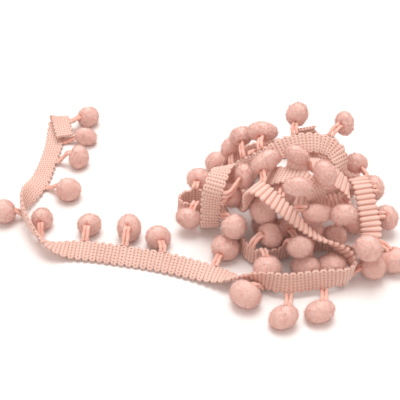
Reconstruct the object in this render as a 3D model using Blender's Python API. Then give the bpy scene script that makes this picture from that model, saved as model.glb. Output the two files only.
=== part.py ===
"""A length of pompom fringe trim, lying loose: a knitted tape dropped in a heap with one end trailing out of it.

The tape is one flat band that runs along a laid route. From one of its edges hang pompoms, each on a loop of
two yarn strands. The strands are fused into a short tab of edging, which stands just clear of the tape.
X is to the right, Y is away from the viewer, Z is up. Sizes are in millimetres until a mesh is made.
"""

import bpy
import numpy as np

MM = 0.001
TAPE_WIDTH = 9.0
TAPE_THICKNESS = 1.2
TAB_GAP = 0.4
TAB_WIDTH = 1.2
TAB_THICKNESS = 1.2
TAB_HALF_LENGTH = 2.5
POMPOM_RADIUS = 5.0
POMPOM_REST = 4.64
POMPOM_SIDES = 9
STRAND_THICKNESS = 1.2
STRAND_APART = 1.9
LOOP_SHORTEST = 8.8
LOOP_LONGEST = 13.5
TAPE_STEP = 3.0
LAY_CENTRE = (-2.6, -6.3)

# Named points of the tape's centre line: place, x, y, z, then the way the pompom edge faces there, as a compass
# heading from +X and a lift above level, both in degrees.
ROUTE = (
    ("tail 0", -66.5, 41.5, 5, -5, -5),
    ("tail 1", -69, 49.5, 5.5, 10, 0),
    ("tail 2", -72.5, 61, 3.5, 12, 0),
    ("tail 3", -73, 57, 1, 8, 0),
    ("tail 4", -72, 40, 1, 0, 0),
    ("tail 5", -73, 23.5, 1.5, -15, 5),
    ("tail 6", -74.5, 9, 2, -10, -15),
    ("tail 7", -77, -4, 4, -25, -60),
    ("tail 8", -78, -10.5, 5, -125, -85),
    ("tail 9", -74.5, -19.5, 5, -170, -90),
    ("tail 10", -69, -28, 4.5, 55, -80),
    ("tail 11", -63, -33.5, 4, 70, -35),
    ("tail 12", -56, -34, 3, 85, 10),
    ("tail 13", -46, -35, 3, 80, 25),
    ("tail 14", -33, -37.5, 3, 80, 30),
    ("tail 15", -20.5, -40, 3, 75, 30),
    ("tail 16", -8, -43.5, 3, 75, 25),
    ("tail 17", 2, -47, 3, 70, 15),
    ("tail 18", 10, -50, 3.5, 70, -10),
    ("tail 19", 16.5, -52.5, 4.5, 65, -55),
    ("front 0", 24.5, -54, 5, -85, -85),
    ("front 1", 32, -56, 5, -95, -65),
    ("front 2", 40, -55, 5, -80, -65),
    ("front 3", 49.5, -53.5, 5, -80, -70),
    ("front 4", 56.5, -53, 5, -35, -85),
    ("front 5", 62, -49, 6, 70, -70),
    ("slant 0", 60, -44, 9, 135, -55),
    ("slant 1", 55, -42, 13, 110, -50),
    ("slant 2", 47, -40, 16, 85, -25),
    ("slant 3", 39, -37.5, 22, 75, -10),
    ("slant 4", 32.5, -35, 27.5, 65, 0),
    ("slant 5", 27, -32.5, 31.5, 55, 0),
    ("slant 6", 22.5, -28.5, 33, 50, 0),
    ("slant 7", 20, -26, 29.5, 50, 0),
    ("slant 8", 20.5, -25, 22, 50, 0),
    ("slant 9", 21, -20.5, 15, 50, 0),
    ("slant 10", 18.5, -13.5, 11.5, 40, 0),
    ("slant 11", 13.5, -7, 15, 30, 0),
    ("left fall 0", 12, -7.5, 24, 20, 0),
    ("left fall 1", 9.5, -13, 30, 10, 5),
    ("left fall 2", 5.5, -23.5, 27.5, -5, 5),
    ("left fall 3", 4.5, -22.5, 15, -10, 5),
    ("left fall 4", 4.5, -23.5, 5.5, 0, 0),
    ("left fall 5", 4.5, -18, 2, 0, 10),
    ("left ring 0", 3.2, -13.5, 4, 5, 50),
    ("left ring 1", -2.5, -12.5, 5, 20, 80),
    ("left ring 2", -9, -12.5, 5.5, 0, 80),
    ("left ring 3", -10, -8, 6, 90, 85),
    ("left ring 4", -4.5, -4.5, 6, 60, 85),
    ("left ring 5", 4, -4.5, 5.5, 30, 85),
    ("curl 0", 13, -22.5, 5, 30, 85),
    ("curl 1", 17.5, -33, 5, 30, 85),
    ("curl 2", 20.5, -39.5, 5, 60, 85),
    ("curl 3", 26, -41, 5, -90, 85),
    ("curl 4", 33, -38, 5, -90, 85),
    ("curl 5", 42, -35, 5, -90, 85),
    ("curl 6", 52, -33.5, 5, -90, 80),
    ("right rise 0", 60.5, -37, 5, -70, 75),
    ("right rise 1", 66.5, -38, 5.5, -40, 60),
    ("right rise 2", 71, -33, 7.5, -10, 30),
    ("right rise 3", 70.5, -26, 13, 0, -5),
    ("right rise 4", 69, -19, 18.5, 5, -5),
    ("right rise 5", 67.5, -13, 22.5, 10, -5),
    ("right rise 6", 67, -7.5, 19, 25, 0),
    ("right rise 7", 64.5, -3.5, 12.5, 40, 0),
    ("right rise 8", 60.3, -3.5, 16.5, 50, 0),
    ("arch 0", 59.5, -9.5, 24, 50, 10),
    ("arch 1", 58.5, -8.5, 30, 60, 30),
    ("arch 2", 53, -4, 33, 75, 40),
    ("arch 3", 44, -3.5, 35, 90, 40),
    ("arch 4", 35.5, -5.5, 34.5, 100, 40),
    ("arch 5", 29, -7, 30.5, 115, 35),
    ("back slope 0", 23.5, -5, 25, 125, 25),
    ("back slope 1", 18, 0.5, 18, 120, 10),
    ("back slope 2", 12.5, 2.5, 12, 110, -10),
    ("back slope 3", 7.5, 8, 6.5, 110, -50),
    ("floor run 0", 12, 16, 5, 0, -85),
    ("floor run 1", 22, 26, 5, -55, -80),
    ("floor run 2", 38, 31, 5, -90, -75),
    ("floor run 3", 55, 28, 5, -120, -70),
    ("floor run 4", 68, 15, 6, -160, -65),
    ("floor run 5", 69, -2, 8, -170, -55),
    ("inner 0", 60, -14, 11, -110, -40),
    ("inner 1", 46, -18, 14, -95, -20),
    ("inner 2", 36, -16, 17, -100, 0),
    ("inner 3", 27, -15, 21, -95, 0),
    ("inner 4", 28.5, -15.5, 26, -95, 0),
    ("crumple 0", 33, -22.5, 33.5, -95, 0),
    ("crumple 1", 37, -24.5, 35, -110, 5),
    ("crumple 2", 41, -25.5, 35, -130, -10),
    ("crumple 3", 45.5, -28.5, 30.5, -140, -15),
    ("crumple 4", 47.5, -25, 23.5, -155, -10),
    ("notch 0", 51, -23.5, 18, -110, -10),
    ("notch 1", 57, -24, 16.5, -75, 0),
    ("notch 2", 61.3, -22.5, 19.5, -85, 0),
    ("notch 3", 60.8, -20.5, 25, -110, 5),
    ("tongue 0", 54.5, -19.5, 30, -140, 0),
    ("tongue 1", 48.8, -14, 33, -160, 5),
    ("tongue 2", 46, -4, 30, -175, 10),
    ("stub 0", 45.5, 1, 34, -175, 10),
    ("stub 1", 44.5, 0.5, 39, -175, 10),
)

# Pompoms: the named place whose edge holds the loop, how far past it along the tape, and the x, y, z that the
# ball lies towards.
POMPOMS = (
    ("tail 1", 3, -63.5, 54, 4.6),
    ("tail 4", -2, -56.5, 43, 4.6),
    ("tail 5", -3, -57.5, 25, 4.6),
    ("tail 6", 1, -59.5, 1.5, 4.6),
    ("tail 8", 2, -84.5, -13, 4.6),
    ("tail 10", 0, -68.5, -17, 4.6),
    ("tail 13", -3, -47.5, -21.5, 4.6),
    ("tail 14", 1, -30, -23.5, 4.6),
    ("tail 15", 4, -17, -30, 4.6),
    ("tail 17", 3, 9, -38, 4.6),
    ("front 0", 0, 17.5, -60.5, 4.6),
    ("front 1", 3, 31.5, -71.5, 4.6),
    ("front 3", -1, 45, -70, 4.6),
    ("front 4", 0, 56.5, -46, 4.6),
    ("front 5", 0, 69.5, -46.5, 7),
    ("inner 0", 0, 56.5, -28, 4.6),
    ("slant 3", 3, 44.8, -32.6, 23),
    ("slant 4", 3, 33, -22, 24),
    ("slant 6", 1, 27, -16, 35),
    ("left fall 2", 2, 17.9, -14.5, 25.5),
    ("left ring 1", 0, -4, -19.5, 4.6),
    ("left ring 4", 2, -0.5, 4.2, 8.5),
    ("left fall 3", -6, 14.1, -14.9, 14),
    ("left fall 3", 2, 14.4, -31.8, 12),
    ("curl 2", 0, 29, -35, 11),
    ("curl 4", 2, 39.5, -39, 10),
    ("curl 5", 4, 42.5, -46.5, 6),
    ("right rise 1", 0, 64.5, -44, 12),
    ("right rise 2", -1, 77.5, -41.5, 4.6),
    ("right rise 3", 1, 79.5, -20, 8),
    ("right rise 5", -4, 74, -7, 14),
    ("right rise 6", 0, 68.8, -1.5, 19),
    ("arch 2", 0, 61.5, 6.5, 38),
    ("arch 3", 4, 41, 7, 42),
    ("arch 5", 2, 27, 8, 32.5),
    ("back slope 0", 6, 18, 12, 27),
    ("back slope 1", 6, 14.3, 10, 17),
    ("floor run 0", -4, 7.6, 22, 4.6),
    ("floor run 0", 8, 22, 15, 4.6),
    ("floor run 1", 10, 30, 20, 4.6),
    ("floor run 2", 10, 46, 18, 4.6),
    ("floor run 3", 10, 58, 12, 4.6),
    ("floor run 4", 10, 58, -2, 6),
    ("floor run 5", 8, 66, -22, 7),
    ("inner 0", 8, 46, -30, 8),
    ("inner 2", 3, 23.5, -25, 18),
    ("crumple 2", 2, 37, -37.5, 40.5),
    ("notch 1", 0, 55.5, -35, 24),
    ("tongue 0", 0, 48.6, -27, 38),
    ("tongue 1", -1, 38.7, -18.3, 40),
    ("slant 10", 0, 24, -12, 12),
    ("slant 9", 0, 28, -21, 4.6),
    ("curl 3", 0, 27, -48.5, 4.6),
    ("back slope 0", 0, 27, 4, 20),
    ("left ring 5", 6, 13, 0, 4.6),
    ("curl 5", -2, 35, -28, 4.6),
)


def clear_scene():
    """Takes every object out of the scene."""
    for thing in list(bpy.data.objects):
        bpy.data.objects.remove(thing, do_unlink=True)


def unit(rows):
    """Each row at length one."""
    return rows / np.linalg.norm(rows, axis=1)[:, None]


def facing(heading, lift):
    """The direction of a compass heading and a lift, both in degrees."""
    turn, rise = np.radians(heading), np.radians(lift)
    return (np.cos(rise) * np.cos(turn), np.cos(rise) * np.sin(turn), np.sin(rise))


def lengths_along(points):
    """The distance run at each point of a line."""
    steps = np.linalg.norm(np.diff(points[:, :3], axis=0), axis=1)
    return np.concatenate([[0.0], np.cumsum(steps)])


def even_steps(rows, step):
    """The same line with its rows about one step apart."""
    run = lengths_along(rows)
    places = np.linspace(0.0, run[-1], int(round(run[-1] / step)) + 1)
    return np.stack([np.interp(places, run, rows[:, k]) for k in range(rows.shape[1])], axis=1)


def softened(rows, reach, step):
    """The line averaged over a bell of the given reach, its ends kept."""
    count = int(3 * reach / step)
    bell = np.exp(-0.5 * (np.arange(-count, count + 1) * step / reach) ** 2)
    bell /= bell.sum()
    before = 2 * rows[0] - rows[1 : count + 1][::-1]
    after = 2 * rows[-1] - rows[-count - 1 : -1][::-1]
    padded = np.concatenate([before, rows, after])
    return np.stack([np.convolve(padded[:, k], bell, "valid") for k in range(rows.shape[1])], axis=1)


def curve_through(rows):
    """A smooth curve through the rows, each of whose columns changes evenly with the distance run."""
    run = lengths_along(rows)
    span = np.diff(run)[:, None]
    slope = np.diff(rows, axis=0) / span
    tangent = np.zeros_like(rows)
    tangent[0] = slope[0]
    tangent[-1] = slope[-1]
    tangent[1:-1] = (span[1:] * slope[:-1] + span[:-1] * slope[1:]) / (span[:-1] + span[1:])
    places = np.arange(0.0, run[-1], 0.25)
    left = np.clip(np.searchsorted(run, places, side="right") - 1, 0, len(rows) - 2)
    part = ((places - run[left]) / span[left, 0])[:, None]
    width = span[left]
    return (
        (2 * part**3 - 3 * part**2 + 1) * rows[left]
        + (part**3 - 2 * part**2 + part) * width * tangent[left]
        + (3 * part**2 - 2 * part**3) * rows[left + 1]
        + (part**3 - part**2) * width * tangent[left + 1]
    )


def square_to_line(centre, edge):
    """The line's direction, and its edge direction turned square to it."""
    along = unit(np.gradient(centre, axis=0))
    edge = edge - (edge * along).sum(axis=1)[:, None] * along
    return along, unit(edge)


def ease_apart(centre, edge):
    """Moves layers of the tape that lie too close off one another, and lifts it off the floor."""
    step = 2.0
    clear = 2.7
    across = np.array([-4.4, -1.5, 1.5, 4.4])
    rim = TAPE_WIDTH / 2 + TAB_GAP + TAB_WIDTH
    count = len(centre)
    station = np.repeat(np.arange(count), len(across))
    offset = np.tile(across, count)
    same_bend = np.abs(station[:, None] - station[None, :]) * step < 12.0
    bell = np.exp(-0.5 * (np.arange(-6, 7) / 2.5) ** 2)
    bell /= bell.sum()
    for _ in range(120):
        point = centre[station] + edge[station] * offset[:, None]
        square = (point * point).sum(axis=1)
        apart = square[:, None] + square[None, :] - 2 * point @ point.T
        apart[same_bend] = 1e9
        one, other = np.nonzero(apart < clear**2)
        move = np.zeros_like(centre)
        turn = np.zeros_like(edge)
        hits = np.zeros(count)
        if len(one):
            gap = point[one] - point[other]
            far = np.sqrt(np.maximum(apart[one, other], 1e-9))
            push = gap / far[:, None] * ((clear - far) * 0.5)[:, None]
            np.add.at(move, station[one], push)
            np.add.at(turn, station[one], push * (offset[one] / 20.0)[:, None])
            np.add.at(hits, station[one], 1.0)
            move /= np.maximum(hits, 1)[:, None]
            turn /= np.maximum(hits, 1)[:, None]
        low = centre[:, 2] + np.minimum(edge[:, 2] * rim, -edge[:, 2] * TAPE_WIDTH / 2) - 0.62
        move[:, 2] += np.maximum(0.0, -low) * 0.8
        spread = []
        for change in (move, turn):
            held = np.concatenate([np.repeat(change[:1], 6, 0), change, np.repeat(change[-1:], 6, 0)])
            spread.append(np.stack([np.convolve(held[:, k], bell, "valid") for k in range(3)], axis=1))
        centre = centre + spread[0] * 1.3
        edge = square_to_line(centre, edge + spread[1])[1]
    return centre, edge


def lay_tape():
    """The tape as laid: centre line, direction, edge direction and face direction at each millimetre."""
    rows = np.array([row[1:4] + tuple(20 * part for part in facing(*row[4:])) for row in ROUTE])
    line = even_steps(softened(even_steps(curve_through(rows), 0.5), 2.0, 0.5), 2.0)
    centre, edge = line[:, :3], square_to_line(line[:, :3], line[:, 3:])[1]
    centre, edge = ease_apart(centre, edge)
    line = even_steps(softened(np.concatenate([centre, edge * 20], axis=1), 2.0, 2.0), 1.0)
    along, edge = square_to_line(line[:, :3], line[:, 3:])
    places = {}
    for row in ROUTE:
        places[row[0]] = int(np.argmin(np.linalg.norm(line[:, :3] - np.array(row[1:4]), axis=1)))
    return {"centre": line[:, :3], "along": along, "edge": edge, "face": np.cross(along, edge), "places": places}


def lay_pompoms(tape):
    """Where each ball comes to lie: near its row's point, on a loop of fair length, clear of tape and balls."""
    last = len(tape["centre"]) - 3
    root_at = np.array([min(max(tape["places"][row[0]] + int(row[1]), 3), last) for row in POMPOMS])
    target = np.array([row[2:5] for row in POMPOMS])
    rim = TAPE_WIDTH / 2 + TAB_GAP + TAB_WIDTH / 2
    root = tape["centre"][root_at] + tape["edge"][root_at] * rim
    outward = tape["edge"][root_at]
    across = np.array([-4.2, -2.1, 0.0, 2.1, 4.2])
    cloth = (tape["centre"][::2, None, :] + tape["edge"][::2, None, :] * across[None, :, None]).reshape(-1, 3)
    own = np.eye(len(POMPOMS), dtype=bool)
    count = len(POMPOMS)
    row = np.arange(count)
    apart_self = np.eye(count) * 99.0
    ball = target.copy()
    for turn in range(400):
        ball += (target - ball) * 0.1 * (1 - turn / 400)
        for points, skip in ((cloth, None), (root, own)):
            away = ball[:, None, :] - points[None, :, :]
            far = np.linalg.norm(away, axis=2)
            short = np.maximum(0.0, POMPOM_RADIUS + TAPE_THICKNESS / 2 + 0.5 - far)
            if skip is not None:
                short[skip] = 0.0
            worst = short.argmax(axis=1)
            ball += away[row, worst] / far[row, worst][:, None] * short[row, worst][:, None] * 0.7
        away = ball[:, None, :] - ball[None, :, :]
        far = np.linalg.norm(away, axis=2) + apart_self
        short = np.maximum(0.0, 2 * POMPOM_RADIUS + 0.5 - far)
        ball += (away / far[..., None] * short[..., None]).sum(axis=1) * 0.35
        for share in (0.15, 0.4):
            middle = root + (ball - root) * share
            away = ball[:, None, :] - middle[None, :, :]
            far = np.linalg.norm(away, axis=2) + apart_self
            short = np.maximum(0.0, POMPOM_RADIUS + 2.2 - far)
            ball += (away / far[..., None] * short[..., None]).sum(axis=1) * 0.3
            away = middle[:, None, :] - cloth[None, :, :]
            far = np.linalg.norm(away, axis=2)
            short = np.maximum(0.0, (1.0 if share < 0.3 else 2.4) - far)
            worst = short.argmax(axis=1)
            ball += away[row, worst] / far[row, worst][:, None] * short[row, worst][:, None] * 0.8
        loop = ball - root
        back = np.minimum(0.0, (loop * outward).sum(axis=1) + 4.0)
        loop = loop - outward * back[:, None]
        length = np.linalg.norm(loop, axis=1)
        ball = root + loop / length[:, None] * np.clip(length, LOOP_SHORTEST, LOOP_LONGEST)[:, None]
        ball[:, 2] = np.maximum(ball[:, 2], POMPOM_REST)
    return root_at, root, ball


def make_object(name, points, faces, material):
    """A mesh object from points in millimetres about the laid trim's middle."""
    shift = np.array([LAY_CENTRE[0], LAY_CENTRE[1], 0.0])
    mesh = bpy.data.meshes.new(name)
    mesh.from_pydata([tuple((np.array(point) - shift) * MM) for point in points], [], faces)
    mesh.materials.append(material)
    mesh.validate()
    mesh.update()
    thing = bpy.data.objects.new(name, mesh)
    bpy.context.scene.collection.objects.link(thing)
    return thing


def sleeve(rings):
    """Points and faces of a closed tube through rings of the same number of points, with flat ends."""
    sides = len(rings[0])
    points = [point for ring in rings for point in ring]
    faces = [tuple(range(sides))[::-1]]
    for level in range(len(rings) - 1):
        for side in range(sides):
            a = level * sides + side
            b = level * sides + (side + 1) % sides
            faces.append((a, b, b + sides, a + sides))
    faces.append(tuple((len(rings) - 1) * sides + side for side in range(sides)))
    return points, faces


def band(tape, places, inner, outer, thickness):
    """A flat band through some of the tape's places, between two distances from its centre line."""
    rings = []
    for k in places:
        centre, edge, face = tape["centre"][k], tape["edge"][k], tape["face"][k] * thickness / 2
        near, far = centre + edge * inner, centre + edge * outer
        rings.append((near - face, far - face, far + face, near + face))
    return sleeve(rings)


def strand(start, end, side, lift):
    """One yarn strand, square in section, that bows a little outward half way."""
    run = (end - start) / np.linalg.norm(end - start)
    across = side - run * (side @ run)
    across /= np.linalg.norm(across)
    upward = np.cross(run, across)
    rings = []
    for share, bow in ((0.0, 0.0), (0.5, 1.0), (1.0, 0.0)):
        middle = start + (end - start) * share + across * bow * lift
        rings.append(
            tuple(
                middle + (across * a + upward * b) * STRAND_THICKNESS / 2
                for a, b in ((-1, -1), (1, -1), (1, 1), (-1, 1))
            )
        )
    return sleeve(rings)


def ball_rings(centre):
    """A pompom as level rings, with a small flat at its foot and its crown."""
    rings = []
    for angle in (21.9, 56.0, 90.0, 124.0, 158.0):
        tilt = np.radians(angle)
        ring = []
        for side in range(POMPOM_SIDES):
            turn = 2 * np.pi * side / POMPOM_SIDES
            level = np.array([np.cos(turn), np.sin(turn), 0.0]) * np.sin(tilt)
            ring.append(centre + POMPOM_RADIUS * (level - np.array([0.0, 0.0, np.cos(tilt)])))
        rings.append(tuple(ring))
    return sleeve(rings)


def joined(shapes):
    """Several shapes' points and faces as one list."""
    points, faces = [], []
    for shape_points, shape_faces in shapes:
        start = len(points)
        points.extend(shape_points)
        faces.extend(tuple(corner + start for corner in face) for face in shape_faces)
    return points, faces


def plain_material(name, colour, roughness):
    """A plain Principled material."""
    material = bpy.data.materials.new(name)
    material.use_nodes = True
    shader = material.node_tree.nodes["Principled BSDF"]
    shader.inputs["Base Color"].default_value = (*colour, 1.0)
    shader.inputs["Roughness"].default_value = roughness
    shader.inputs["Metallic"].default_value = 0.0
    return material


def add_pompom(number, tape, place, root, ball, material):
    """One pompom: its tab of edging, the two strands of its loop, and its ball, joined into one body."""
    name = f"pompom_{number:02d}"
    inner = TAPE_WIDTH / 2 + TAB_GAP
    reach = int(TAB_HALF_LENGTH)
    places = (place - reach, place, place + reach)
    body = make_object(name, *band(tape, places, inner, inner + TAB_WIDTH, TAB_THICKNESS), material)
    along = tape["along"][place]
    run = (ball - root) / np.linalg.norm(ball - root)
    side = along - run * (along @ run)
    side /= np.linalg.norm(side)
    strands = []
    for way in (-1.0, 1.0):
        start = root + along * way * STRAND_APART / 2
        end = ball + side * way * STRAND_APART * 0.37 - run * POMPOM_RADIUS * 0.55
        strands.append(strand(start, end, side * way, 0.3))
    for label, shapes in (("loop", strands), ("ball", [ball_rings(ball)])):
        helper = make_object(f"{name}_{label}", *joined(shapes), material)
        helper.hide_render = True
        helper.display_type = "WIRE"
        union = body.modifiers.new(label, "BOOLEAN")
        union.operation = "UNION"
        union.solver = "EXACT"
        union.object = helper
    return body


def build():
    """Builds the whole trim."""
    clear_scene()
    tape_material = plain_material("tape_yarn", (0.85, 0.55, 0.47), 0.85)
    pompom_material = plain_material("pompom_yarn", (0.72, 0.40, 0.35), 0.95)
    tape = lay_tape()
    end = len(tape["centre"]) - 1
    places = np.round(np.linspace(0, end, int(round(end / TAPE_STEP)) + 1)).astype(int)
    half = TAPE_WIDTH / 2
    make_object("tape", *band(tape, places, -half, half, TAPE_THICKNESS), tape_material)
    root_at, root, ball = lay_pompoms(tape)
    for number, k in enumerate(np.argsort(root_at), 1):
        add_pompom(number, tape, int(root_at[k]), root[k], ball[k], pompom_material)


build()
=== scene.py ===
"""A length of pompom fringe trim, lying loose on a pale floor: a knitted tape dropped in a heap
with one end trailing out of it, and small felted pompoms on loops of yarn along one edge.

X is to the right, Y is away from the viewer, Z is up. Lengths are in millimetres until a mesh, a
light or the camera is made.
"""

import bpy
import numpy as np
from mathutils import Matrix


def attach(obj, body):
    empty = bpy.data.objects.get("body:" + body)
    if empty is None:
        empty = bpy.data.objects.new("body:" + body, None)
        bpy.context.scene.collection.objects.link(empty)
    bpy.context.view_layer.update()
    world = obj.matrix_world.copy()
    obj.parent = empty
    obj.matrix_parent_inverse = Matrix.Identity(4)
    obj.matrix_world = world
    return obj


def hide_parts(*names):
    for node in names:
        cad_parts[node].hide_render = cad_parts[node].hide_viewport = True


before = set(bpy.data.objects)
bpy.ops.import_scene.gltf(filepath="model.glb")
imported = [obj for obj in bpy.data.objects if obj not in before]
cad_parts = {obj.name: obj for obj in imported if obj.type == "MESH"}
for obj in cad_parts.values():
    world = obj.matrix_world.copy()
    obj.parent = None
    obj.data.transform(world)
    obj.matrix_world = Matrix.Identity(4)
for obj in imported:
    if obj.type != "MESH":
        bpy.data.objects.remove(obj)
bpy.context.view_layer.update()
scene = bpy.context.scene

# --------------------------------------------------------------------------------------------------
# The camera looks down at the trim from the front, a little under half way up from the horizon. Its
# middle line meets the floor at the origin of the laid route, which lies a few millimetres off the
# middle of the whole trim.
MM = 0.001
LAY_CENTRE = np.array([-2.6, -6.3, 0.0])
LOOK_DOWN = np.radians(42.0)
LOOK_FROM = 330.0
SENSOR_WIDTH = 36.0
FRAME_PIXELS = 400
PIXELS_PER_MM = 2.2
NEAREST_SEEN = 10.0
FURTHEST_SEEN = 20000.0

camera_data = bpy.data.cameras.new("camera")
camera_data.sensor_width = SENSOR_WIDTH
camera_data.lens = SENSOR_WIDTH * PIXELS_PER_MM * LOOK_FROM / FRAME_PIXELS
camera_data.clip_start = NEAREST_SEEN * MM
camera_data.clip_end = FURTHEST_SEEN * MM
camera = bpy.data.objects.new("camera", camera_data)
eye = np.array([0.0, -np.cos(LOOK_DOWN), np.sin(LOOK_DOWN)]) * LOOK_FROM - LAY_CENTRE
camera.location = eye * MM
camera.rotation_euler = (np.pi / 2 - LOOK_DOWN, 0.0, 0.0)
scene.collection.objects.link(camera)
scene.camera = camera

# --------------------------------------------------------------------------------------------------
# The tape: a narrow band knitted of soft cotton-like yarn. Pairs of thick strands run across it as
# cords and swell at its edges into small scallops, and finer threads chained along it tie the cords
# down into rows of knots.
TAPE_WIDTH = 9.0
TAPE_THICKNESS = 1.2
TAPE_LIT = (0.865, 0.635, 0.560)
# The groove colour is painted shade: it stands in for the shade that falls in the knit's grooves,
# holes and rib valleys.
TAPE_GROOVE_SHADE = (0.700, 0.290, 0.210)

# The loops of the fringe are rooted in a strip of edging just outside the tape's edge.
EDGING_GAP = 0.4
EDGING_WIDTH = 1.2

# The knit. A pitch is the length of tape that one cord takes up. On the gathered spans the tape is
# squeezed lengthwise, and its cords stand up in plump ribs. The reliefs are how far yarn stands up,
# and the shares, middles and powers after them shape its profile. No yarn lies below the lowest.
CORD_PITCH = 3.1
GATHERED_PITCH = 2.3
GATHERED_SPANS = ("slant", "right rise", "notch", "inner")
GATHERING_FADE = 4.0
CHAINS = 7
ROWS_PER_CORD = 10
COLUMNS_PER_FACE = 15
CORD_RELIEF = 0.62
CORD_ROUNDNESS = 0.8
RELIEF_MIDDLE = 0.55
CHAIN_RELIEF = 0.45
RIB_CHAIN_SHARE = 0.2
NET_LOWEST = 0.35
STRAND_DIP = 0.14
STRAND_DIP_WIDTH = 0.07
SCALLOP = 1.1
SCALLOP_ROUNDNESS = 0.7
SCALLOP_MIDDLE = 0.65
SCALLOP_INSET = 0.3
EDGE_SQUARENESS = 9
NEAR_RIM_POWER = 7
LOWEST_YARN = 0.02

# How far each kind of gap in the knit takes the colour from lit to the painted groove shade, and
# how narrow it is.
# Shade is painted into the lines between strands and chains, the net's holes, the rib valleys and
# the ribs near the rims.
STRAND_LINE = 0.18
CHAIN_LINE = 0.26
LINE_SHARPNESS = 1.7
NET_HOLE = 1.25
RIB_VALLEY = 0.9
VALLEY_SHARPNESS = 1.6
RIB_LINES = 0.4
RIM_PAINTED_SHADE = 0.3

# The fibres' noise: its share and what is added to it for the colour, and its share for the nap.
TAPE_MOTTLE = (-0.5, 0.3)
TAPE_NAP = 0.35

# The laying, in steps and averages along the route. Its rows hold the centre and, this many times
# over, the edge direction.
EDGE_SCALE = 20.0
CURVE_STEP = 0.25
ROUTE_STEP = 0.5
ROUTE_SOFTNESS = 2.0
STATION_STEP = 2.0
LAID_STEP = 1.0

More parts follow.
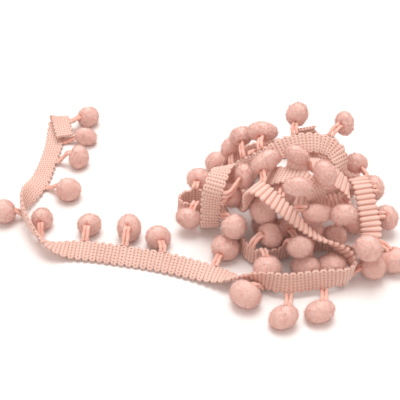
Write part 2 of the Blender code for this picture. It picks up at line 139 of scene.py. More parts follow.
# Named points of the tape's centre line: place, x, y, z, then the way the pompom edge faces there,
# as a compass heading from +X and a lift above level, both in degrees.
ROUTE = (
    ("tail 0", -66.5, 41.5, 5, -5, -5),
    ("tail 1", -69, 49.5, 5.5, 10, 0),
    ("tail 2", -72.5, 61, 3.5, 12, 0),
    ("tail 3", -73, 57, 1, 8, 0),
    ("tail 4", -72, 40, 1, 0, 0),
    ("tail 5", -73, 23.5, 1.5, -15, 5),
    ("tail 6", -74.5, 9, 2, -10, -15),
    ("tail 7", -77, -4, 4, -25, -60),
    ("tail 8", -78, -10.5, 5, -125, -85),
    ("tail 9", -74.5, -19.5, 5, -170, -90),
    ("tail 10", -69, -28, 4.5, 55, -80),
    ("tail 11", -63, -33.5, 4, 70, -35),
    ("tail 12", -56, -34, 3, 85, 10),
    ("tail 13", -46, -35, 3, 80, 25),
    ("tail 14", -33, -37.5, 3, 80, 30),
    ("tail 15", -20.5, -40, 3, 75, 30),
    ("tail 16", -8, -43.5, 3, 75, 25),
    ("tail 17", 2, -47, 3, 70, 15),
    ("tail 18", 10, -50, 3.5, 70, -10),
    ("tail 19", 16.5, -52.5, 4.5, 65, -55),
    ("front 0", 24.5, -54, 5, -85, -85),
    ("front 1", 32, -56, 5, -95, -65),
    ("front 2", 40, -55, 5, -80, -65),
    ("front 3", 49.5, -53.5, 5, -80, -70),
    ("front 4", 56.5, -53, 5, -35, -85),
    ("front 5", 62, -49, 6, 70, -70),
    ("slant 0", 60, -44, 9, 135, -55),
    ("slant 1", 55, -42, 13, 110, -50),
    ("slant 2", 47, -40, 16, 85, -25),
    ("slant 3", 39, -37.5, 22, 75, -10),
    ("slant 4", 32.5, -35, 27.5, 65, 0),
    ("slant 5", 27, -32.5, 31.5, 55, 0),
    ("slant 6", 22.5, -28.5, 33, 50, 0),
    ("slant 7", 20, -26, 29.5, 50, 0),
    ("slant 8", 20.5, -25, 22, 50, 0),
    ("slant 9", 21, -20.5, 15, 50, 0),
    ("slant 10", 18.5, -13.5, 11.5, 40, 0),
    ("slant 11", 13.5, -7, 15, 30, 0),
    ("left fall 0", 12, -7.5, 24, 20, 0),
    ("left fall 1", 9.5, -13, 30, 10, 5),
    ("left fall 2", 5.5, -23.5, 27.5, -5, 5),
    ("left fall 3", 4.5, -22.5, 15, -10, 5),
    ("left fall 4", 4.5, -23.5, 5.5, 0, 0),
    ("left fall 5", 4.5, -18, 2, 0, 10),
    ("left ring 0", 3.2, -13.5, 4, 5, 50),
    ("left ring 1", -2.5, -12.5, 5, 20, 80),
    ("left ring 2", -9, -12.5, 5.5, 0, 80),
    ("left ring 3", -10, -8, 6, 90, 85),
    ("left ring 4", -4.5, -4.5, 6, 60, 85),
    ("left ring 5", 4, -4.5, 5.5, 30, 85),
    ("curl 0", 13, -22.5, 5, 30, 85),
    ("curl 1", 17.5, -33, 5, 30, 85),
    ("curl 2", 20.5, -39.5, 5, 60, 85),
    ("curl 3", 26, -41, 5, -90, 85),
    ("curl 4", 33, -38, 5, -90, 85),
    ("curl 5", 42, -35, 5, -90, 85),
    ("curl 6", 52, -33.5, 5, -90, 80),
    ("right rise 0", 60.5, -37, 5, -70, 75),
    ("right rise 1", 66.5, -38, 5.5, -40, 60),
    ("right rise 2", 71, -33, 7.5, -10, 30),
    ("right rise 3", 70.5, -26, 13, 0, -5),
    ("right rise 4", 69, -19, 18.5, 5, -5),
    ("right rise 5", 67.5, -13, 22.5, 10, -5),
    ("right rise 6", 67, -7.5, 19, 25, 0),
    ("right rise 7", 64.5, -3.5, 12.5, 40, 0),
    ("right rise 8", 60.3, -3.5, 16.5, 50, 0),
    ("arch 0", 59.5, -9.5, 24, 50, 10),
    ("arch 1", 58.5, -8.5, 30, 60, 30),
    ("arch 2", 53, -4, 33, 75, 40),
    ("arch 3", 44, -3.5, 35, 90, 40),
    ("arch 4", 35.5, -5.5, 34.5, 100, 40),
    ("arch 5", 29, -7, 30.5, 115, 35),
    ("back slope 0", 23.5, -5, 25, 125, 25),
    ("back slope 1", 18, 0.5, 18, 120, 10),
    ("back slope 2", 12.5, 2.5, 12, 110, -10),
    ("back slope 3", 7.5, 8, 6.5, 110, -50),
    ("floor run 0", 12, 16, 5, 0, -85),
    ("floor run 1", 22, 26, 5, -55, -80),
    ("floor run 2", 38, 31, 5, -90, -75),
    ("floor run 3", 55, 28, 5, -120, -70),
    ("floor run 4", 68, 15, 6, -160, -65),
    ("floor run 5", 69, -2, 8, -170, -55),
    ("inner 0", 60, -14, 11, -110, -40),
    ("inner 1", 46, -18, 14, -95, -20),
    ("inner 2", 36, -16, 17, -100, 0),
    ("inner 3", 27, -15, 21, -95, 0),
    ("inner 4", 28.5, -15.5, 26, -95, 0),
    ("crumple 0", 33, -22.5, 33.5, -95, 0),
    ("crumple 1", 37, -24.5, 35, -110, 5),
    ("crumple 2", 41, -25.5, 35, -130, -10),
    ("crumple 3", 45.5, -28.5, 30.5, -140, -15),
    ("crumple 4", 47.5, -25, 23.5, -155, -10),
    ("notch 0", 51, -23.5, 18, -110, -10),
    ("notch 1", 57, -24, 16.5, -75, 0),
    ("notch 2", 61.3, -22.5, 19.5, -85, 0),
    ("notch 3", 60.8, -20.5, 25, -110, 5),
    ("tongue 0", 54.5, -19.5, 30, -140, 0),
    ("tongue 1", 48.8, -14, 33, -160, 5),
    ("tongue 2", 46, -4, 30, -175, 10),
    ("stub 0", 45.5, 1, 34, -175, 10),
    ("stub 1", 44.5, 0.5, 39, -175, 10),
)


def unit(rows):
    """Each row divided by its length."""
    return rows / np.linalg.norm(rows, axis=-1, keepdims=True)


def facing(heading, lift):
    """The direction of a heading and a lift in degrees: level part by cosine, height by sine."""
    turn, rise = np.radians(heading), np.radians(lift)
    return (np.cos(rise) * np.cos(turn), np.cos(rise) * np.sin(turn), np.sin(rise))


def lengths_along(points):
    """The distance run at each point of a line: the running sum of its steps."""
    steps = np.linalg.norm(np.diff(points[:, :3], axis=0), axis=1)
    return np.concatenate([[0.0], np.cumsum(steps)])


def even_steps(rows, step):
    """The same line with rows about one step apart, each column read off by the distance run."""
    run = lengths_along(rows)
    places = np.linspace(0.0, run[-1], int(round(run[-1] / step)) + 1)
    return np.stack([np.interp(places, run, rows[:, k]) for k in range(rows.shape[1])], axis=1)


def bell_weights(count, width):
    """Weights of a bell curve at whole steps from -count to count, which add up to one."""
    bell = np.exp(-0.5 * (np.arange(-count, count + 1) / width) ** 2)
    return bell / bell.sum()


def averaged(rows, bell):
    """Each column averaged over the bell. The rows that its ends hang over are used up."""
    return np.stack([np.convolve(rows[:, k], bell, "valid") for k in range(rows.shape[1])], axis=1)


def softened(rows, reach, step):
    """The line averaged over a bell, its ends kept by mirroring the rows beyond them."""
    count = int(3 * reach / step)
    before = 2 * rows[0] - rows[1 : count + 1][::-1]
    after = 2 * rows[-1] - rows[-count - 1 : -1][::-1]
    return averaged(np.concatenate([before, rows, after]), bell_weights(count, reach / step))


def curve_through(rows):
    """A smooth curve through the rows: a cubic on each span, with a slope at each row that is
    weighted from the spans on both sides."""
    run = lengths_along(rows)
    span = np.diff(run)[:, None]
    slope = np.diff(rows, axis=0) / span
    tangent = np.zeros_like(rows)
    tangent[0] = slope[0]
    tangent[-1] = slope[-1]
    tangent[1:-1] = (span[1:] * slope[:-1] + span[:-1] * slope[1:]) / (span[:-1] + span[1:])
    places = np.arange(0.0, run[-1], CURVE_STEP)
    left = np.clip(np.searchsorted(run, places, side="right") - 1, 0, len(rows) - 2)
    part = ((places - run[left]) / span[left, 0])[:, None]
    width = span[left]
    return (
        (2 * part**3 - 3 * part**2 + 1) * rows[left]
        + (part**3 - 2 * part**2 + part) * width * tangent[left]
        + (3 * part**2 - 2 * part**3) * rows[left + 1]
        + (part**3 - part**2) * width * tangent[left + 1]
    )


def square_to_line(centre, edge):
    """The line's direction, and its edge direction less the part of it that runs along the line."""
    along = unit(np.gradient(centre, axis=0))
    edge = edge - (edge * along).sum(axis=1)[:, None] * along
    return along, unit(edge)


def ease_apart(centre, edge):
    """Moves layers of the tape that lie too close off one another, and lifts it off the floor.

    Feelers across the tape that come nearer than the clear distance push each other half the
    shortfall apart. The pushes are averaged for each station, smoothed along the tape by a bell,
    and applied to its line and, over a lever's length, to its lean.
    """
    feelers = np.array([-4.4, -1.5, 1.5, 4.4])
    clear, same_bend, lever, floor_gap, least_far = 2.7, 12.0, 20.0, 0.62, 1e-9
    turns, move_share, lift_share, bell_reach, bell_width = 120, 1.3, 0.8, 6, 2.5
    bell = bell_weights(bell_reach, bell_width)
    rim = TAPE_WIDTH / 2 + EDGING_GAP + EDGING_WIDTH
    count = len(centre)
    station = np.repeat(np.arange(count), len(feelers))
    offset = np.tile(feelers, count)
    spared = np.abs(station[:, None] - station[None, :]) * STATION_STEP < same_bend
    for _ in range(turns):
        point = centre[station] + edge[station] * offset[:, None]
        square = (point * point).sum(axis=1)
        apart = square[:, None] + square[None, :] - 2 * point @ point.T
        apart[spared] = np.inf
        one, other = np.nonzero(apart < clear**2)
        far = np.sqrt(np.maximum(apart[one, other], least_far))
        push = (point[one] - point[other]) / far[:, None] * ((clear - far) * 0.5)[:, None]
        move, lean, hits = np.zeros_like(centre), np.zeros_like(edge), np.zeros(count)
        np.add.at(move, station[one], push)
        np.add.at(lean, station[one], push * (offset[one] / lever)[:, None])
        np.add.at(hits, station[one], 1.0)
        move /= np.maximum(hits, 1)[:, None]
        lean /= np.maximum(hits, 1)[:, None]
        lowest = np.minimum(edge[:, 2] * rim, -edge[:, 2] * TAPE_WIDTH / 2)
        move[:, 2] += np.maximum(0.0, -(centre[:, 2] + lowest - floor_gap)) * lift_share
        held = ((bell_reach, bell_reach), (0, 0))
        move, lean = (averaged(np.pad(part, held, mode="edge"), bell) for part in (move, lean))
        centre = centre + move * move_share
        edge = square_to_line(centre, edge + lean)[1]
    return centre, edge


def lay_tape():
    """The tape as laid: its centre line, direction and edge direction at each millimetre, and the
    row of it that is nearest to each named point of the route."""
    rows = np.array([row[1:4] + tuple(EDGE_SCALE * k for k in facing(*row[4:])) for row in ROUTE])
    rows = even_steps(curve_through(rows), ROUTE_STEP)
    line = even_steps(softened(rows, ROUTE_SOFTNESS, ROUTE_STEP), STATION_STEP)
    centre, edge = ease_apart(line[:, :3], square_to_line(line[:, :3], line[:, 3:])[1])
    rows = np.concatenate([centre, edge * EDGE_SCALE], axis=1)
    line = even_steps(softened(rows, ROUTE_SOFTNESS, STATION_STEP), LAID_STEP)
    centre = line[:, :3]
    along, edge = square_to_line(centre, line[:, 3:])
    places = {}
    for name, *point, _, _ in ROUTE:
        places[name] = int(np.argmin(np.linalg.norm(centre - np.array(point), axis=1)))
    return {"centre": centre, "along": along, "edge": edge, "places": places}


def grid_faces(rows, columns):
    """Four-cornered faces of a grid that closes on itself across, row after row."""
    row, column = np.meshgrid(np.arange(rows - 1), np.arange(columns), indexing="ij")
    here = row * columns + column
    beside = row * columns + (column + 1) % columns
    return np.stack([here, beside, beside + columns, here + columns], axis=-1).reshape(-1, 4)


def grid_ends(rows, columns, first=0):
    """The two faces that close such a grid's first and last rows, counted from its first point."""
    last_row = first + (rows - 1) * columns
    return [tuple(range(first, first + columns))[::-1], tuple(range(last_row, last_row + columns))]


def make_piece(name, points, quads, ends, materials, values, slots=None, uv=None):
    """A smooth mesh object from points in millimetres about the route's origin, riding on the
    trim's body.

    quads are rows of four corners, ends are further faces of any size, values holds named numbers
    for each point, slots number each face's material, and uv holds a pair for each point.
    """
    mesh = bpy.data.meshes.new(name)
    mesh.vertices.add(len(points))
    mesh.vertices.foreach_set("co", ((points - LAY_CENTRE) * MM).astype(np.float32).ravel())
    corners = np.concatenate([quads.ravel(), *map(np.array, ends)]).astype(np.int32)
    end_starts = quads.size + np.cumsum([0, *map(len, ends)])[:-1]
    starts = np.concatenate([np.arange(len(quads)) * 4, end_starts]).astype(np.int32)
    mesh.loops.add(len(corners))
    mesh.loops.foreach_set("vertex_index", corners)
    mesh.polygons.add(len(starts))
    mesh.polygons.foreach_set("loop_start", starts)
    mesh.update(calc_edges=True)
    mesh.shade_smooth()
    for material in materials:
        mesh.materials.append(material)
    if slots is not None:
        mesh.polygons.foreach_set("material_index", slots.astype(np.int32))
    if uv is not None:
        layer = mesh.uv_layers.new(name="lay")
        layer.data.foreach_set("uv", uv[corners].astype(np.float32).ravel())
    for label, numbers in values.items():
        attribute = mesh.attributes.new(label, "FLOAT", "POINT")
        attribute.data.foreach_set("value", numbers.astype(np.float32))
    mesh.validate()
    piece = bpy.data.objects.new(name, mesh)
    scene.collection.objects.link(piece)
    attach(piece, "root")
    return piece


def cord_swell(cords):
    """How far a cord across the tape stands up at a place counted in cords: one round arch for each
    pair of strands, with a shallow dip down the middle of the pair."""
    phase = cords % 1.0
    arch = np.sin(np.pi * phase) ** CORD_ROUNDNESS
    dip = np.exp(-(((phase - 0.5) / STRAND_DIP_WIDTH) ** 2))
    return arch * (1.0 - STRAND_DIP * dip)


def gathered_share(tape, run):
    """How far the tape is squeezed lengthwise at each distance run: 1 where the nearest named point
    is on a gathered span and 0 elsewhere, averaged along the tape over a bell."""
    place = np.array([tape["places"][row[0]] for row in ROUTE])
    squeezed = np.array([row[0].rsplit(" ", 1)[0] in GATHERED_SPANS for row in ROUTE], float)
    nearest = np.abs(np.arange(len(tape["centre"]))[:, None] - place[None, :]).argmin(axis=1)
    reach = int(3 * GATHERING_FADE)
    held = np.pad(squeezed[nearest], reach, mode="edge")
    share = np.convolve(held, bell_weights(reach, GATHERING_FADE), "valid")
    return np.interp(run, lengths_along(tape["centre"]), share)


def tape_surface(tape):
    """The band as a closed skin on a grid: distance run by place round its section.

    Across, a point runs out along one face and back along the other. Cords are counted by adding up
    the run over their pitch, which is shorter where the tape is gathered. The half width swells by
    the scallop on each cord. The half thickness follows the ribs where the tape is gathered and the
    knots of the net where it is open, and is drawn in to nothing at the two edges.
    """
    step = CORD_PITCH / ROWS_PER_CORD
    rows = np.concatenate([tape["centre"], tape["edge"] * EDGE_SCALE], axis=1)
    line = even_steps(curve_through(rows), step)
    centre = line[:, :3]
    along, edge = square_to_line(centre, line[:, 3:])
    face = np.cross(along, edge)
    gathered = gathered_share(tape, lengths_along(centre))
    knotted = 1.0 - gathered[:, None]
    cords = np.cumsum(step / (CORD_PITCH + (GATHERED_PITCH - CORD_PITCH) * gathered))[:, None]
    swell = cord_swell(cords)
    strand = np.abs(np.sin(2 * np.pi * cords))
    lobe = np.abs(np.sin(np.pi * cords)) ** SCALLOP_ROUNDNESS

    there = np.arange(COLUMNS_PER_FACE)
    column = np.concatenate([there, there[-2:0:-1]])[None, :]
    side = np.where(np.arange(column.size) < COLUMNS_PER_FACE, 1.0, -1.0)
    out = np.linspace(-1.0, 1.0, COLUMNS_PER_FACE)[column]
    on_chain = column % 2
    rim = np.sqrt(np.maximum(0.0, 1.0 - np.abs(out) ** EDGE_SQUARENESS))
    near_rim = np.abs(out) ** NEAR_RIM_POWER

    half_width = TAPE_WIDTH / 2 - SCALLOP_INSET + SCALLOP * (lobe - SCALLOP_MIDDLE)
    net = (NET_LOWEST + (1.0 - NET_LOWEST) * strand) * (1.0 - near_rim) + swell * near_rim
    relief = swell * (1.0 - knotted) + net * knotted
    chain_share = RIB_CHAIN_SHARE + (1.0 - RIB_CHAIN_SHARE) * knotted
    relief = relief * (1.0 - CHAIN_RELIEF * (1.0 - on_chain) * chain_share)
    thick = (TAPE_THICKNESS / 2 - CORD_RELIEF * RELIEF_MIDDLE + CORD_RELIEF * relief) * rim
    points = (
        centre[:, None, :]
        + edge[:, None, :] * (half_width * out)[:, :, None]
        + face[:, None, :] * (thick * side)[:, :, None]
    )
    points[..., 2] = np.maximum(points[..., 2], LOWEST_YARN)
    uv = np.stack(np.broadcast_arrays(cords, (out + 1.0) / 2), axis=-1)
    # The crest is the mask for the ribs' painted shade: it is low between the ribs and lower
    # towards the rims, where the colour is shaded.
    crest = swell * (1.0 - RIM_PAINTED_SHADE + RIM_PAINTED_SHADE * rim)
    knots = np.broadcast_to(knotted, thick.shape)
    return points, uv, crest, knots


def node_of(tree, kind, **settings):
    """A new shader node with some of its settings changed."""
    node = tree.nodes.new(kind)
    for key, value in settings.items():
        setattr(node, key, value)
    return node


def set_inputs(node, values):
    """Puts numbers and colours into a node's named inputs."""
    for name, value in values.items():
        node.inputs[name].default_value = value


def math_node(tree, operation, first, second=None, third=None):
    """The output of a Math node fed with numbers or with other nodes' outputs."""
    node = node_of(tree, "ShaderNodeMath", operation=operation)
    for socket, value in zip(node.inputs, (first, second, third)):
        if isinstance(value, (int, float)):
            socket.default_value = value
        elif value is not None:
            tree.links.new(value, socket)
    return node.outputs[0]


def blend_colours(tree, share, low, high):
    """The output of a Mix node from low to high by share, each a node's output or a colour. Such a
    node has its share at input 0, its colours at inputs 6 and 7, and the blend at output 2."""
    node = node_of(tree, "ShaderNodeMix", data_type="RGBA")
    tree.links.new(share, node.inputs[0])
    for socket, colour in ((node.inputs[6], low), (node.inputs[7], high)):
        if isinstance(colour, tuple):
            socket.default_value = (*colour, 1.0)
        else:
            tree.links.new(colour, socket)
    return node.outputs[2]


def loose_fibre_group():
    """Loose yarn fibres: fine noise for the nap, and broad noise for how the dye and the brushing
    vary. Scales are in noise cells to the metre."""
    group = bpy.data.node_groups.new("loose_fibre", "ShaderNodeTree")
    for way, names in (("INPUT", ("Scale", "Broad Scale")), ("OUTPUT", ("Nap", "Mottle"))):
        for name in names:
            group.interface.new_socket(name, in_out=way, socket_type="NodeSocketFloat")
    given = node_of(group, "NodeGroupInput")
    result = node_of(group, "NodeGroupOutput")
    place = node_of(group, "ShaderNodeTexCoord")
    for scale, use, settings in (
        ("Scale", "Nap", {"Detail": 5.0, "Roughness": 0.65, "Distortion": 0.8}),
        ("Broad Scale", "Mottle", {"Detail": 3.0}),
    ):
        noise = node_of(group, "ShaderNodeTexNoise")
        set_inputs(noise, settings)
        group.links.new(place.outputs["Object"], noise.inputs["Vector"])
        group.links.new(given.outputs[scale], noise.inputs["Scale"])
        group.links.new(noise.outputs["Fac"], result.inputs[use])
    return group


loose_fibre = loose_fibre_group()


def yarn_material(name, roughness, sheen, depth, nap, mottle):
    """A Principled material for soft yarn, with its loose fibre group at the given scales and a
    Bump node ready to be fed, whose full height is depth."""
    material = bpy.data.materials.new(name)
    material.use_nodes = True
    tree = material.node_tree
    shader = tree.nodes["Principled BSDF"]
    skin = {
        "Roughness": roughness,
        "Specular IOR Level": 0.15,
        "Sheen Weight": sheen,
        "Sheen Roughness": 0.5,
        "Sheen Tint": (1.0, 0.82, 0.76, 1.0),
        "Subsurface Weight": 0.12,
        "Subsurface Radius": (1.0, 0.5, 0.4),
        "Subsurface Scale": 0.8 * MM,
    }
    set_inputs(shader, skin)
    fibre = node_of(tree, "ShaderNodeGroup", node_tree=loose_fibre)
    set_inputs(fibre, {"Scale": nap, "Broad Scale": mottle})
    bump = node_of(tree, "ShaderNodeBump")
    set_inputs(bump, {"Strength": 1.0, "Distance": depth * MM})
    tree.links.new(bump.outputs["Normal"], shader.inputs["Normal"])
    return material, tree, shader, fibre, bump


def knit_groove(tree, place, turns):
    """How deep a place lies in the grooves of a knit: one less the height of a rounded wave, which
    is the size of the sine of place times turns, to a power that makes the groove narrow."""
    wave = math_node(tree, "SINE", math_node(tree, "MULTIPLY", place, turns))
    height = math_node(tree, "ABSOLUTE", wave)
    return math_node(tree, "POWER", math_node(tree, "SUBTRACT", 1.0, height), LINE_SHARPNESS)


def tape_material():
    """The tape's yarn: pale on the cords and deeper in the grooves between them.

    Grooves run off the UV map, one for each strand of a cord along the tape and one for each chain
    across it. The deeper colour is painted shade: on open lengths it shows in a hole wherever two
    grooves cross, and on gathered ones in the valleys between the ribs and towards the rims. The
    same depth is taken off the nap in the Bump node.
    """
    material, tree, shader, fibre, bump = yarn_material(
        "tape_yarn_knit", roughness=0.85, sheen=0.25, depth=0.3, nap=2600.0, mottle=90.0
    )
    lay = node_of(tree, "ShaderNodeUVMap", uv_map="lay")
    parts = node_of(tree, "ShaderNodeSeparateXYZ")
    tree.links.new(lay.outputs["UV"], parts.inputs["Vector"])
    crest = node_of(tree, "ShaderNodeAttribute", attribute_name="crest").outputs["Fac"]
    knots = node_of(tree, "ShaderNodeAttribute", attribute_name="knots").outputs["Fac"]
    # Each gap below is painted shade: how far the colour is darkened towards the groove shade in
    # the knit's lines, holes and rib valleys.
    strand_gap = knit_groove(tree, parts.outputs["X"], 2 * np.pi)
    chain_gap = knit_groove(tree, parts.outputs["Y"], CHAINS * np.pi)
    hole = math_node(tree, "MULTIPLY", strand_gap, chain_gap)
    chain_lines = math_node(tree, "MULTIPLY", chain_gap, CHAIN_LINE)
    lines = math_node(tree, "MULTIPLY_ADD", strand_gap, STRAND_LINE, chain_lines)
    net_gap = math_node(tree, "MULTIPLY_ADD", hole, NET_HOLE, lines)
    valley = math_node(tree, "POWER", math_node(tree, "SUBTRACT", 1.0, crest), VALLEY_SHARPNESS)
    rib_lines = math_node(tree, "MULTIPLY", lines, RIB_LINES)
    rib_gap = math_node(tree, "MULTIPLY_ADD", valley, RIB_VALLEY, rib_lines)
    open_part = math_node(tree, "MULTIPLY", net_gap, knots)
    ribbed = math_node(tree, "SUBTRACT", 1.0, knots)
    gap = math_node(tree, "MULTIPLY_ADD", rib_gap, ribbed, open_part)
    mottle = math_node(tree, "MULTIPLY_ADD", fibre.outputs["Mottle"], *TAPE_MOTTLE)
    share = math_node(tree, "ADD", gap, mottle)
    share.node.use_clamp = True
    tree.links.new(blend_colours(tree, share, TAPE_LIT, TAPE_GROOVE_SHADE), shader.inputs["Base Color"])
    nap = math_node(tree, "MULTIPLY", fibre.outputs["Nap"], TAPE_NAP)
    tree.links.new(math_node(tree, "SUBTRACT", nap, gap), bump.inputs["Height"])
    return material


tape = lay_tape()
points, uv, crest, knots = tape_surface(tape)
rows, columns = points.shape[:2]
tape_piece = make_piece(
    "knitted_tape",
    points.reshape(-1, 3),
    grid_faces(rows, columns)[:, ::-1],
    [end[::-1] for end in grid_ends(rows, columns)],
    [tape_material()],
    {"crest": crest.ravel(), "knots": knots.ravel()},
    uv=uv.reshape(-1, 2),
)
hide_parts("tape")

# --------------------------------------------------------------------------------------------------
# The pompoms: little balls of brushed acrylic yarn, tied round their waist by the loop that they
# hang from. Each loop is two soft cords that grow out of the tape's edge, side by side, and go into
# the top of the ball.
POMPOM_RADIUS = 5.0
POMPOM_REST = 4.64
BALL_LEVELS = 30
BALL_MERIDIANS = 44
POLE_CAP = 0.06
LUMP_GAIN = 1.7
DIMPLE_DEPTH = 1.1
DIMPLE_WIDTH = 0.05
# The share of painted shade in the dimple where the loop ties a ball, times the dimple's depth.
FOLD_SHADE = 0.9
BALL_LIT = (0.950, 0.715, 0.655)
BALL_DEEP = (0.910, 0.510, 0.435)
# The painted shade colour for the tie's dimple:
BALL_TIE_SHADE = (0.900, 0.280, 0.180)
BALL_MOTTLE = (2.3, -0.6)
BALL_TUFTS = 0.9

# The nap that stands off each ball, as loose ends of yarn.
FIBRES = 2000
FIBRE_LENGTH = 1.15
FIBRE_WIDTH = 0.09
FIBRE_SHORTEST = 0.3
FIBRE_ROOT = 0.3
FIBRE_TIP = 0.3
FIBRE_LEAN = 0.38
FIBRE_BEND = 0.9
NEAREST_POLE = 0.97

# The loops, and how each of their two strands is laid.
LOOP_SHORTEST = 8.8
LOOP_LONGEST = 13.5
LOOP_LIT = (0.920, 0.650, 0.570)
LOOP_DEEP = (0.880, 0.370, 0.270)
LOOP_MOTTLE = (1.4, -0.1)
STRAND_RADIUS = 0.78
STRAND_APART = 1.75
STRAND_IN_EDGE = 0.4
STRAND_SIDES = 10
STRAND_RINGS = 18
PLY_SWELL = 0.14
PLY_TWIST = 14.0
STRANDS_AT_BALL = 0.42
STRAND_REACH = 0.38
STRAND_AHEAD = 0.8
LOWEST_BALL = 0.05

# Pompoms: the named place whose edge holds the loop, how far past it along the tape, the x, y, z
# that the ball lies towards, then its size, how much longer it is than wide, the heading and lift
# of its long way, and how far up its face the loop's yarn goes in, from 0 for the side next to the
# tape to 1 for near the top.
POMPOMS = (
    ("tail 1", 3, -63.5, 54, 4.6, 1.00, 1.11, 21, 22, 0.3),
    ("tail 4", -2, -56.5, 43, 4.6, 0.91, 1.29, -14, -15, 0.1),
    ("tail 5", -3, -57.5, 25, 4.6, 0.97, 1.15, 90, 48, 0.9),
    ("tail 6", 1, -59.5, 1.5, 4.6, 1.06, 1.07, 0, 0, 0.4),
    ("tail 8", 2, -84.5, -13, 4.6, 1.02, 1.04, 0, 0, 0.5),
    ("tail 10", 0, -68.5, -17, 4.6, 0.90, 1.05, 90, 48, 0.6),
    ("tail 13", -3, -47.5, -21.5, 4.6, 0.96, 1.05, 0, 0, 0.6),
    ("tail 14", 1, -30, -23.5, 4.6, 1.05, 1.14, 97, 48, 0.9),
    ("tail 15", 4, -17, -30, 4.6, 0.96, 1.11, 0, 0, 0.2),
    ("tail 17", 3, 9, -38, 4.6, 1.10, 1.06, -7, -7, 0.1),
    ("front 0", 0, 17.5, -60.5, 4.6, 1.11, 1.19, -25, -25, 1.0),
    ("front 1", 3, 31.5, -71.5, 4.6, 0.94, 1.33, 17, 18, 0.6),
    ("front 3", -1, 45, -70, 4.6, 0.95, 1.38, 14, 15, 0.8),
    ("front 4", 0, 56.5, -46, 4.6, 1.08, 1.15, 0, 0, 0.5),
    ("front 5", 0, 69.5, -46.5, 7, 1.00, 1.12, -21, -22, 0.5),
    ("inner 0", 0, 56.5, -28, 4.6, 0.97, 1.14, 7, 7, 0.5),
    ("slant 3", 3, 44.8, -32.6, 23, 0.88, 1.68, 0, 0, 0.5),
    ("slant 4", 3, 33, -22, 24, 1.00, 1.24, -49, -40, 0.5),
    ("slant 6", 1, 27, -16, 35, 0.96, 1.65, 23, 24, 0.1),
    ("left fall 2", 2, 17.9, -14.5, 25.5, 0.85, 1.26, 105, 47, 0.3),
    ("left ring 1", 0, -4, -19.5, 4.6, 0.93, 1.20, -10, -11, 0.2),
    ("left ring 4", 2, -0.5, 4.2, 8.5, 1.04, 1.09, -21, -22, 0.1),
    ("left fall 3", -6, 14.1, -14.9, 14, 0.98, 1.11, 119, 44, 0.3),
    ("left fall 3", 2, 14.4, -31.8, 12, 1.00, 1.06, 34, 32, 0.5),
    ("curl 2", 0, 29, -35, 11, 0.99, 1.17, -39, -35, 0.6),
    ("curl 4", 2, 39.5, -39, 10, 0.92, 1.11, 0, 0, 0.5),
    ("curl 5", 4, 42.5, -46.5, 6, 1.08, 1.21, 0, 0, 0.5),
    ("right rise 1", 0, 64.5, -44, 12, 1.04, 1.08, -29, -29, 0.5),
    ("right rise 2", -1, 77.5, -41.5, 4.6, 1.07, 1.04, 0, 0, 0.5),
    ("right rise 3", 1, 79.5, -20, 8, 0.97, 1.16, -55, -42, 0.1),
    ("right rise 5", -4, 74, -7, 14, 1.00, 1.17, 90, 48, 0.0),
    ("right rise 6", 0, 68.8, -1.5, 19, 0.87, 1.16, -10, -11, 0.0),
    ("arch 2", 0, 61.5, 6.5, 38, 0.82, 1.34, 100, 48, 0.4),
    ("arch 3", 4, 41, 7, 42, 0.92, 1.20, 61, 44, 0.1),
    ("arch 5", 2, 27, 8, 32.5, 0.99, 1.50, -3, -4, 0.0),
    ("back slope 0", 6, 18, 12, 27, 0.86, 1.28, 10, 11, 0.0),
    ("back slope 1", 6, 14.3, 10, 17, 0.95, 1.15, 21, 22, 0.0),
    ("floor run 0", -4, 7.6, 22, 4.6, 0.94, 1.13, 14, 15, 0.0),
    ("floor run 0", 8, 22, 15, 4.6, 0.94, 1.08, 171, 10, 0.5),
    ("floor run 1", 10, 30, 20, 4.6, 1.08, 1.08, 23, 24, 0.5),
    ("floor run 2", 10, 46, 18, 4.6, 1.08, 1.08, 75, 47, 0.5),
    ("floor run 3", 10, 58, 12, 4.6, 0.94, 1.08, 138, 36, 0.5),
    ("floor run 4", 10, 58, -2, 6, 0.94, 1.08, 176, 4, 0.5),
    ("floor run 5", 8, 66, -22, 7, 1.00, 1.11, 0, 0, 0.5),
    ("inner 0", 8, 46, -30, 8, 1.08, 1.11, 0, 0, 0.5),
    ("inner 2", 3, 23.5, -25, 18, 1.08, 1.20, -49, -40, 0.5),
    ("crumple 2", 2, 37, -37.5, 40.5, 0.82, 1.47, 0, 0, 0.5),
    ("notch 1", 0, 55.5, -35, 24, 0.87, 1.32, 0, 0, 0.5),
    ("tongue 0", 0, 48.6, -27, 38, 0.90, 1.31, 128, 41, 0.5),
    ("tongue 1", -1, 38.7, -18.3, 40, 0.78, 1.47, -21, -22, 0.5),
    ("slant 10", 0, 24, -12, 12, 1.10, 1.08, 7, 7, 0.5),
    ("slant 9", 0, 28, -21, 4.6, 1.12, 1.08, 46, 39, 0.5),
    ("curl 3", 0, 27, -48.5, 4.6, 1.10, 1.08, 110, 46, 0.5),
    ("back slope 0", 0, 27, 4, 20, 1.10, 1.08, 160, 21, 0.5),
    ("left ring 5", 6, 13, 0, 4.6, 1.12, 1.08, 12, 13, 0.5),
    ("curl 5", -2, 35, -28, 4.6, 1.10, 1.08, 55, 42, 0.5),
)


def gaps_between(points, others, clear, spare):
    """For each point and each of the others: the way from the other, how far apart they are, and
    what that lacks of the clear distance. spare is added to how far, to leave some pairs alone."""
    away = points[:, None, :] - others[None, :, :]
    far = np.linalg.norm(away, axis=2) + spare
    return away, far, np.maximum(0.0, clear - far)


def push_off_all(points, others, clear, spare=0.0):
    """The sum, for each point, of the steps that clear it of each of the others."""
    away, far, short = gaps_between(points, others, clear, spare)
    return (away / far[..., None] * short[..., None]).sum(axis=1)


def push_off_nearest(points, others, clear, spare=0.0):
    """The step, for each point, that clears it of the one other that it is most too near."""
    away, far, short = gaps_between(points, others, clear, spare)
    row, worst = np.arange(len(points)), short.argmax(axis=1)
    return away[row, worst] / far[row, worst][:, None] * short[row, worst][:, None]


